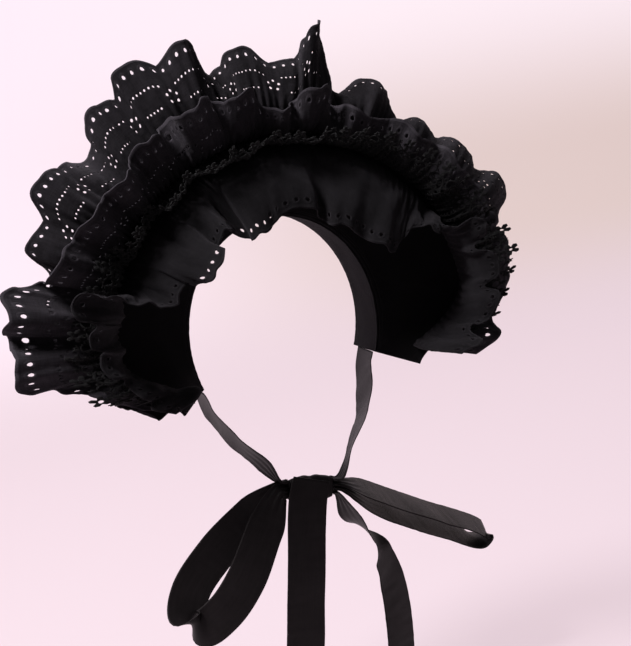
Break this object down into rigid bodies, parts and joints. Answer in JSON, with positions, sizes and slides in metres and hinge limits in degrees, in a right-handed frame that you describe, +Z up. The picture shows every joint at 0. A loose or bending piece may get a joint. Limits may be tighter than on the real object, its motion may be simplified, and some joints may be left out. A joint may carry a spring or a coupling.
{
  "type": "lace bonnet",
  "caption": "Black cotton half bonnet: a curved band and brim with gathered eyelet ruffles, a lace frill and satin ribbon ties knotted in a bow under the chin.",
  "frame": {"origin": "inner face of the band at the top of the head, midway along the band's depth", "axes": "+Z up, the wearer looks along -Y, +X towards the wearer's left"},
  "size_m": [0.5249, 0.1736, 0.6721],
  "materials": {
    "cotton": "matte woven cotton",
    "lace": "matte corded lace",
    "satin": "soft satin sheen"
  },
  "bodies": {
    "root": {"band": "cotton", "brim": "cotton", "back_ruffle": "cotton", "middle_ruffle": "cotton", "front_ruffle": "cotton", "lace_frill": "lace", "tie_right": "satin", "tie_left": "satin", "bow_knot": "satin", "bow_loop_right": "satin", "bow_loop_left": "satin", "tail_front": "satin", "tail_side": "satin"}
  },
  "joints": []
}
